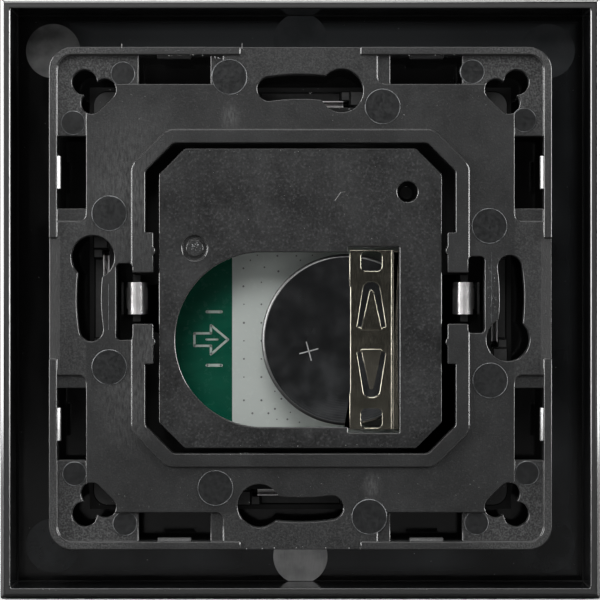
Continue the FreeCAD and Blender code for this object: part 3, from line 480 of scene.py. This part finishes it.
CLIP_COLOUR = (0.36, 0.34, 0.28)
SWITCH_COLOUR = (0.6, 0.6, 0.58)
FINISHES = {
    "frame_black": frame_black(),
    "rocker_black": finish_gloss(gloss("rocker_black")),
    "plate_black": plate_black(),
    "module_black": moulded(
        "module_black", 0.006, 0.028, 1.4, 0.43, specks=0.1, grain_size=0.3
    ).material,
    "carrier_black": moulded("carrier_black", 0.002, 0.004, 0.2, 0.5).material,
    "board_green": board_green(),
    "clip_nickel": metal("clip_nickel", CLIP_COLOUR, 0.2, (1.0, 1.0, 0.08)).material,
    "cell_steel": cell_steel(),
    "spring_steel": spring_steel(),
    "switch_dark": plain("switch_dark", grey(0.012), grey(0.02), 0.45),
    "switch_sheet": metal("switch_sheet", SWITCH_COLOUR, 0.3, (0.1, 1.0, 1.0)).material,
    "chip_black": plain("chip_black", grey(0.01), grey(0.018), 0.5, 0.2),
    "led_white": plain("led_white", (0.75, 0.72, 0.6), (0.85, 0.83, 0.74), 0.3),
    "ceramic_tan": plain("ceramic_tan", (0.3, 0.2, 0.12), (0.42, 0.3, 0.19), 0.4, 0.3),
}
MARK = plain("ejector_mark", grey(0.008, 0.05), grey(0.013, 0.05), 0.36, 0.5)
# Pale finish as painted highlight: the witness lines round the marks and beside the keyholes, the
# scaly moulding and the gate's crumbs
MARK_EDGE_HIGHLIGHT = plain("ejector_edge_highlight", grey(0.05, 0.03), grey(0.2, 0.03), 0.25, 1.4)
# Lit and shaded copies of the frame marks' tone: painted light on the upper ones, painted shade on
# the lower ones
LIT_UPPER_MARK = plain("upper_mark", grey(0.034, 0.06), grey(0.046, 0.06), 0.14, 3.0)
SHADED_LOWER_MARK = plain("lower_mark", grey(0.009, 0.08), grey(0.021, 0.08), 0.14, 3.0)
RIM_EDGE = plain("rim_edge", grey(0.01), grey(0.03), 0.2, 1.5, Specular_IOR_Level=1.0)
# Painted light: the frame's top-left mark, pale and patchy
LIT_PATCHY_MARK = plain("worn_mark", grey(0.02), grey(0.13), 0.4, 4.0)
BRUSHED_MARK = metal("brushed_mark", grey(0.5), 0.5, (3.0, 1.0, 0.12), line_size=0.2).material
PRINT = plain("legend_print", (0.5, 0.62, 0.56), (0.6, 0.7, 0.65), 0.4, 0.3)
VIA = plain("legend_via", (0.12, 0.14, 0.13), (0.26, 0.28, 0.27), 0.4, 0.3)
FLASH = plain("flash", grey(0.12), grey(0.5), 0.35, 0.2)
SCUFF = plain("scuff", grey(0.12), grey(0.24), 0.5, 0.2)
ENGRAVED = plain("engraved_steel", grey(0.3), grey(0.42), 0.55, 0.2, Metallic=0.6)


# The CAD nodes: their finish, and edges rounded as moulding and stamping leave them

EDGES = {
    "cover_frame": 0.16,
    "mounting_plate": 0.14,
    "rear_housing": 0.17,
    "module_carrier": 0.12,
    "battery_clip": 0.11,
    "coin_cell": 0.12,
    "rocker": 0.12,
    "retaining_spring_right": 0.04,
    "retaining_spring_left": 0.04,
}
EDGE_FINISHES = {
    "cover_frame": frame_edge(),
    "mounting_plate": moulded_edge("plate_edge"),
    "rear_housing": moulded_edge("module_edge"),
}
EDGE_ANGLE = math.radians(32)
FLAT_ANGLE = math.radians(0.4)
MERGE = 0.002


def soften(node, width, finish=None):
    """Rounds a node's sharp edges with modifiers, in a finish of their own where one is given."""
    weld = node.modifiers.new("joined", "WELD")
    weld.merge_threshold = MERGE * MM
    flat = node.modifiers.new("flat_faces", "DECIMATE")
    flat.decimate_type = "DISSOLVE"
    flat.angle_limit = FLAT_ANGLE
    bevel = node.modifiers.new("edges", "BEVEL")
    bevel.width = width * MM
    bevel.segments = 2
    bevel.limit_method = "ANGLE"
    bevel.angle_limit = EDGE_ANGLE
    bevel.use_clamp_overlap = False
    bevel.miter_outer = "MITER_ARC"
    if finish:
        node.data.materials.append(finish)
        bevel.material = 1
    normals = node.modifiers.new("shading", "WEIGHTED_NORMAL")
    normals.weight = 80
    normals.keep_sharp = False


for name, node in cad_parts.items():
    node.data.materials[0] = FINISHES[node.data.materials[0].name.split(".")[0]]
    if name in EDGES:
        soften(node, EDGES[name], EDGE_FINISHES.get(name))


# Pieces of the scene

GRAIN_SUNK = 0.01


def piece(name, points, faces, finish, body="wall_part", smooth=False):
    """A mesh piece that rides on a body."""
    mesh = bpy.data.meshes.new(name)
    mesh.from_pydata(points, [], faces)
    mesh.materials.append(finish)
    for polygon in mesh.polygons:
        polygon.use_smooth = smooth
    mesh.update()
    made = bpy.data.objects.new(name, mesh)
    bpy.context.scene.collection.objects.link(made)
    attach(made, body)


class Heap:
    """Several small solids gathered into one mesh."""

    def __init__(self):
        self.points = []
        self.faces = []

    def take(self, points, faces):
        first = len(self.points)
        self.points += points
        self.faces += [tuple(first + index for index in face) for face in faces]

    def slab(self, corners, near, far):
        """A flat solid between two depths, its corners given anticlockwise."""
        count = len(corners)
        points = [at(u, w, near) for u, w in corners] + [at(u, w, far) for u, w in corners]
        faces = [tuple(range(count)), tuple(reversed(range(count, 2 * count)))]
        for i in range(count):
            after = (i + 1) % count
            faces.append((i, i + count, after + count, after))
        self.take(points, faces)

    def bar(self, start, end, width, near, far):
        """A straight stroke between two places."""
        along = Vector((end[0] - start[0], end[1] - start[1]))
        side = Vector((-along.y, along.x)).normalized() * (width / 2)
        corners = [
            (start[0] - side.x, start[1] - side.y),
            (end[0] - side.x, end[1] - side.y),
            (end[0] + side.x, end[1] + side.y),
            (start[0] + side.x, start[1] + side.y),
        ]
        self.slab(corners, near, far)

    def grain(self, u, w, depth, size):
        """A small uneven crumb lying on a face."""
        points = [at(u, w, depth - size * CHANCE.uniform(0.25, 0.55))]
        turn = CHANCE.uniform(0, math.tau)
        for i in range(5):
            angle = turn + i * math.tau / 5
            reach = size * CHANCE.uniform(0.45, 1.0)
            corner = (u + reach * math.cos(angle), w + reach * math.sin(angle))
            points.append(at(*corner, depth + GRAIN_SUNK))
        faces = [(0, 1 + i, 1 + (i + 1) % 5) for i in range(5)] + [(5, 4, 3, 2, 1)]
        self.take(points, faces)

    def become(self, name, finish, body="wall_part"):
        piece(name, self.points, self.faces, finish, body)


def circle(u, w, radius, count=48):
    turns = [i * math.tau / count for i in range(count)]
    return [(u + radius * math.cos(turn), w + radius * math.sin(turn)) for turn in turns]


# Ejector marks on the wall plate

LARGE_MARKS = [
    (-10.1, 31.5), (-27.2, 12.1), (11.7, 27.3), (26.9, 10.3),
    (-27.2, -9.8), (-12.1, -27.0), (27.0, -11.7), (9.8, -31.1),
]
SMALL_MARKS = [
    (-25.3, 32.0), (-32.4, 25.0), (24.5, 32.3), (31.9, 25.4),
    (-32.2, -25.0), (-25.0, -32.1), (32.3, -24.9), (25.1, -32.0),
]
LARGE_R = 2.45
SMALL_R = 1.66
RING = 0.12
RING_POINTS = 64
PROUD = 0.05


def ejector_mark(name, u, w, radius, depth):
    """A flush pin mark with the thin witness line round it, whose pale finish is a painted
    highlight over its ridge.
    """
    face = Heap()
    face.slab(circle(u, w, radius), depth - PROUD, depth + PROUD)
    face.become("mark_" + name, MARK)
    points = []
    faces = []
    section = ((-RING, PROUD), (0.0, -1.6 * PROUD), (RING, PROUD))
    for i in range(RING_POINTS):
        angle = i * math.tau / RING_POINTS
        for step, lift in section:
            reach = radius + step
            place = (u + reach * math.cos(angle), w + reach * math.sin(angle))
            points.append(at(*place, depth + lift))
    for i in range(RING_POINTS):
        a = 3 * i
        b = 3 * ((i + 1) % RING_POINTS)
        faces += [(a, b, b + 1, a + 1), (a + 1, b + 1, b + 2, a + 2), (a + 2, b + 2, b, a)]
    piece("ring_" + name, points, faces, MARK_EDGE_HIGHLIGHT, smooth=True)


for size, marks, radius, depth in (
    ("large", LARGE_MARKS, LARGE_R, FIELD),
    ("small", SMALL_MARKS, SMALL_R, STRIP),
):
    for number, (u, w) in enumerate(marks):
        ejector_mark("%s_%d" % (size, number), u, w, radius, depth)


# Ejector marks on the inside of the frame's front: the top-left one painted pale and patchy as
# lit, the other upper ones painted lighter as lit, the lower corner ones painted darker as shaded

FRAME_MARK_R = 3.95
FRAME_MARK_PROUD = 0.04
FRAME_MARKS = (
    ("0", -36.0, 36.0, LIT_PATCHY_MARK),
    ("1", 36.0, 36.0, LIT_UPPER_MARK),
    ("2", -36.0, -36.0, SHADED_LOWER_MARK),
    ("3", 36.0, -36.0, SHADED_LOWER_MARK),
    ("4", 0.0, 37.6, LIT_UPPER_MARK),
    ("brushed", 0.0, -37.6, BRUSHED_MARK),
)
for name, u, w, finish in FRAME_MARKS:
    heap = Heap()
    outline = circle(u, w, FRAME_MARK_R, 72)
    heap.slab(outline, FRAME_FACE - FRAME_MARK_PROUD, FRAME_FACE + FRAME_MARK_PROUD)
    heap.become("frame_mark_" + name, finish)


# Print on the board: the insertion arrow, its two dashes and the rows of vias. Their places
# are pixels of the photograph.

BOARD_SCALE = 0.14514
PHOTO_MIDDLE = 300.0
PRINT_THICK = 0.02
ARROW_STROKE = 0.34
ARROW_LINE = 0.28
DASH_STROKE = 0.42
ARROW = [
    (194, 335), (210.5, 335), (210.5, 327), (227.5, 341.2),
    (210.5, 356), (210.5, 347.5), (194, 347.5),
]
VIA_PIXELS = [
    (243, 270), (243, 288), (243.5, 306), (243.5, 324.5), (243.5, 342.5), (243.5, 360.6),
    (243.5, 378.8), (243.5, 402), (261, 284), (261, 306), (261, 324.5), (261, 342.5),
    (261, 360.6), (261, 378.8), (261, 402), (257, 257), (264, 269), (278, 273), (277, 257.5),
    (296, 257.5), (274.5, 393), (274.5, 410.5), (276.5, 421), (287, 421), (281, 400.5),
    (290, 414), (300, 262), (312, 257), (322, 264), (299, 424), (268, 415), (252, 415), (250, 262),
]


def board_place(x, y):
    """A place on the board from the photograph's pixel that shows it."""
    return ((x - PHOTO_MIDDLE) * BOARD_SCALE, (PHOTO_MIDDLE - y) * BOARD_SCALE)


def drawn(heap, pixels, width, closed=False):
    """Strokes through the pixels' places, each joint filled with a dot."""
    places = [board_place(*pixel) for pixel in pixels]
    last = len(places) if closed else len(places) - 1
    for i in range(last):
        end = places[(i + 1) % len(places)]
        heap.bar(places[i], end, width, BOARD_REAR - PRINT_THICK, BOARD_REAR)
    for u, w in places:
        heap.slab(circle(u, w, width / 2, 12), BOARD_REAR - PRINT_THICK, BOARD_REAR)


heap = Heap()
drawn(heap, ARROW, ARROW_STROKE, closed=True)
drawn(heap, [(206, 341.2), (217, 341.2)], ARROW_LINE)
drawn(heap, [(206.5, 313.5), (221, 313.5)], DASH_STROKE)
drawn(heap, [(206.5, 367), (221, 367)], DASH_STROKE)
heap.become("board_print", PRINT)

heap = Heap()
for x, y in VIA_PIXELS:
    u, w = board_place(x, y)
    outline = circle(u, w, CHANCE.uniform(0.09, 0.16), 10)
    heap.slab(outline, BOARD_REAR - PRINT_THICK, BOARD_REAR)
heap.become("board_vias", VIA)


# The plus sign on the cell

PLUS_U = 1.2
PLUS_W = -7.55
PLUS_REACH = 1.4
PLUS_STROKE = 0.16
PLUS_TURN = math.radians(15)

heap = Heap()
across = (PLUS_REACH * math.cos(PLUS_TURN), PLUS_REACH * math.sin(PLUS_TURN))
for du, dw in (across, (-across[1], across[0])):
    start = (PLUS_U - du, PLUS_W - dw)
    end = (PLUS_U + du, PLUS_W + dw)
    heap.bar(start, end, PLUS_STROKE, CELL_REAR - 0.015, CELL_REAR + 0.01)
heap.become("cell_plus", ENGRAVED, body="cell_body")


# Moulding flash and crumbs along the wall plate's edges: each row's left and right end, its
# height, depth, number of crumbs and their size

CRUMB_ROWS = (
    (-26.0, -8.0, 35.3, LIP, 80, 0.08),
    (-22.0, -13.0, 35.25, LIP, 100, 0.08),
    (-21.8, -13.8, 34.6, LIP_STEP, 26, 0.09),
    (-12.3, -11.4, 34.2, LIP_STEP, 6, 0.1),
    (14.0, 22.0, 34.7, LIP_STEP, 14, 0.1),
    (-16.0, 16.0, 20.9, PLATE_RIM, 14, 0.06),
    (-15.0, 15.0, -20.9, PLATE_RIM, 9, 0.06),
    (6.0, 11.0, 22.6, PLATE_RIM, 14, 0.05),
    (-10.0, -6.5, -22.1, PLATE_RIM, 10, 0.06),
    (-10.0, 26.0, -35.4, LIP, 20, 0.1),
)
FIELD_CRUMBS = 110
MODULE_CRUMBS = 50
GATE_CRUMBS = 26
SCALES = 110
FRONT_DUST = 44
RIM_DUST = 22
NICKS = ((-25.4, 35.6, 36.2), (-8.3, 35.5, 36.3))
WITNESS_LINES = ((-27.3, -4.5, 2.0), (27.2, -3.4, 6.6))

heap = Heap()
for left, right, w, depth, count, size in CRUMB_ROWS:
    for _ in range(count):
        u = CHANCE.uniform(left, right)
        heap.grain(u, w + CHANCE.gauss(0, 0.1), depth, size * CHANCE.uniform(0.4, 1.2))
for _ in range(FIELD_CRUMBS):
    u = CHANCE.uniform(-30, 30)
    w = CHANCE.choice((-1, 1)) * CHANCE.uniform(24.3, 30)
    heap.grain(u, w, FIELD, CHANCE.uniform(0.03, 0.08))
for _ in range(MODULE_CRUMBS):
    u = CHANCE.uniform(-19, 19)
    heap.grain(u, CHANCE.uniform(8.5, 20.5), MODULE_REAR, CHANCE.uniform(0.03, 0.07))
for u, low, high in NICKS:
    heap.bar((u, low), (u, high), 0.1, 0.0, 0.1)
heap.become("flash_and_crumbs", FLASH)

# The torn gate in the dimple of the module's shell
heap = Heap()
for _ in range(GATE_CRUMBS):
    reach = GATE_SCAR_R * math.sqrt(CHANCE.random())
    turn = CHANCE.uniform(0, math.tau)
    u = GATE_U + reach * math.cos(turn)
    heap.grain(u, GATE_W + reach * math.sin(turn), GATE_FACE, CHANCE.uniform(0.08, 0.2))
heap.become("gate_scar", MARK_EDGE_HIGHLIGHT)

# Witness lines beside the keyholes, with scaly moulding on the right
heap = Heap()
for _ in range(SCALES):
    u = CHANCE.triangular(25.9, 28.3)
    heap.grain(u, CHANCE.uniform(-3.0, 6.8), FIELD, CHANCE.uniform(0.04, 0.11))
for u, low, high in WITNESS_LINES:
    heap.bar((u, low), (u, high), 0.07, FIELD - 0.02, FIELD + 0.02)
heap.become("witness_lines", MARK_EDGE_HIGHLIGHT)

# Dust on the inside of the frame's front and on its lower rim
heap = Heap()
for _ in range(FRONT_DUST):
    u = CHANCE.uniform(-41, 41)
    w = CHANCE.choice((-1, 1)) * CHANCE.uniform(36.2, 40.8)
    if CHANCE.random() < 0.4:
        u, w = w, u
    heap.grain(u, w, FRAME_FACE, CHANCE.uniform(0.04, 0.12))
for _ in range(RIM_DUST):
    u = CHANCE.uniform(-40, 40)
    heap.grain(u, CHANCE.uniform(-41.6, -41.3), 0.0, CHANCE.uniform(0.03, 0.1))
heap.become("frame_dust", FLASH)

# The sharp inner edge of the frame's rim, which catches the side lights
RIM_EDGE_HALF = 40.9
RIM_SECTION = [(FRAME_INNER + 0.2, -0.08), (FRAME_INNER + 0.08, 0.02), (FRAME_INNER + 0.2, 0.02)]
RIM_FACES = [(0, 1, 4, 3), (1, 2, 5, 4), (2, 0, 3, 5), (2, 1, 0), (3, 4, 5)]
for name, hand in (("left", -1), ("right", 1)):
    ends = [
        at(hand * reach, w, depth)
        for w in (-RIM_EDGE_HALF, RIM_EDGE_HALF)
        for reach, depth in RIM_SECTION
    ]
    faces = [face[::hand] for face in RIM_FACES]
    piece("rim_edge_" + name, ends, faces, RIM_EDGE)

# A scratch on the module's shell: each stroke's start, end and width
SCRATCH = (((4.9, 13.9), (5.75, 15.1), 0.1), ((5.75, 15.1), (6.4, 15.15), 0.06))
heap = Heap()
for start, end, width in SCRATCH:
    heap.bar(start, end, width, MODULE_REAR - 0.01, MODULE_REAR + 0.01)
heap.become("scratch", SCUFF)


# Floor, light and camera. Camera, glossy and transmission rays see a pale floor and room; on
# the wall side the mirrored ones fade to dark, and all other rays find them dark.

FLOOR_REACH = 1.5
FLOOR_GAP = 0.0001
PALE = 0.85
DARK = 0.02
DARK_FLOOR = grey(0.03)


def pale_floor():
    """Paper for the camera and for gloss, which fades out before the horizon."""
    pale = Shader("floor_pale", Roughness=0.6)
    paper = pale.mix(pale.noise(40.0), grey(0.4), grey(0.43))
    wall_side = pale.past(pale.axes["Y"], -30.0, -5.0)
    mirrored = pale.mix(pale.shown(), DARK_FLOOR, pale.mix(wall_side, paper, DARK_FLOOR))
    pale.set("Base Color", pale.mix(pale.camera_ray(), mirrored, paper))
    length = pale.add("ShaderNodeVectorMath", operation="LENGTH")
    pale.feed(length.inputs[0], pale.place)
    pale.set("Alpha", pale.span(length.outputs["Value"], 0.3, 0.6, 1.0, 0.0))
    return pale.material


def pale_room():
    """A white room for the camera, mirrored only from the room side."""
    world = bpy.data.worlds.new("studio")
    world.use_nodes = True
    room = Nodes(world.node_tree)
    toward = room.parts_of(room.add("ShaderNodeTexCoord").outputs["Generated"])
    backdrop = room.span(toward["Y"], -0.25, 0.0, PALE, DARK)
    mirrored = room.span(room.shown(), 0.0, 1.0, DARK, backdrop)
    sky = world.node_tree.nodes["Background"]
    room.feed(sky.inputs["Strength"], room.span(room.camera_ray(), 0.0, 1.0, mirrored, PALE))
    room.feed(sky.inputs["Color"], (1.0, 1.0, 1.0))
    return world


def softbox(name, place, width, height, watts):
    """An area light that faces the object's centre."""
    data = bpy.data.lights.new(name, "AREA")
    data.shape = "RECTANGLE"
    data.size = width
    data.size_y = height
    data.energy = watts
    lamp = bpy.data.objects.new(name, data)
    lamp.location = place
    lamp.rotation_euler = (-Vector(place)).to_track_quat("-Z", "Y").to_euler()
    bpy.context.scene.collection.objects.link(lamp)


level = CAD_BOX[0][2] - FLOOR_GAP
square = ((-1, -1), (1, -1), (1, 1), (-1, 1))
corners = [(x * FLOOR_REACH, y * FLOOR_REACH, level) for x, y in square]
floor_mesh = bpy.data.meshes.new("floor")
floor_mesh.from_pydata(corners, [], [(0, 1, 2, 3)])
floor_mesh.materials.append(pale_floor())
floor = bpy.data.objects.new("floor", floor_mesh)
bpy.context.scene.collection.objects.link(floor)

# Name, place, width, height and watts
for lamp in (
    ("left_light", (0.6, 0.11, 0.03), 0.36, 0.8, 11.5),
    ("right_light", (-0.6, 0.11, 0.02), 0.26, 0.7, 10.0),
    ("top_light", (0.02, 0.14, 0.6), 0.5, 0.14, 2.3),
    ("fill_light", (0.12, 0.5, 0.42), 0.4, 0.3, 2.1),
    ("low_right", (-0.26, 0.55, -0.12), 0.22, 0.22, 0.45),
    ("low_left", (0.26, 0.55, 0.1), 0.22, 0.22, 0.2),
    ("room_left", (0.38, -0.42, 0.62), 0.4, 0.4, 6.0),
    ("room_right", (-0.5, -0.45, 0.5), 0.2, 0.6, 5.0),
):
    softbox(*lamp)

bpy.context.scene.world = pale_room()

camera_data = bpy.data.cameras.new("camera")
camera_data.lens = CAMERA_LENS
camera_data.sensor_width = SENSOR
camera_data.shift_x = CAMERA_SHIFT[0] / PICTURE
camera_data.shift_y = CAMERA_SHIFT[1] / PICTURE
camera_data.clip_start = 0.01
camera_data.clip_end = 20.0
camera = bpy.data.objects.new("camera", camera_data)
camera.location = (0.0, CAMERA_AWAY * MM, 0.0)
camera.rotation_euler = (math.radians(90), 0.0, math.radians(180))
bpy.context.scene.collection.objects.link(camera)
bpy.context.scene.camera = camera
bpy.context.scene.view_settings.view_transform = "Standard"

bpy.context.view_layer.update()
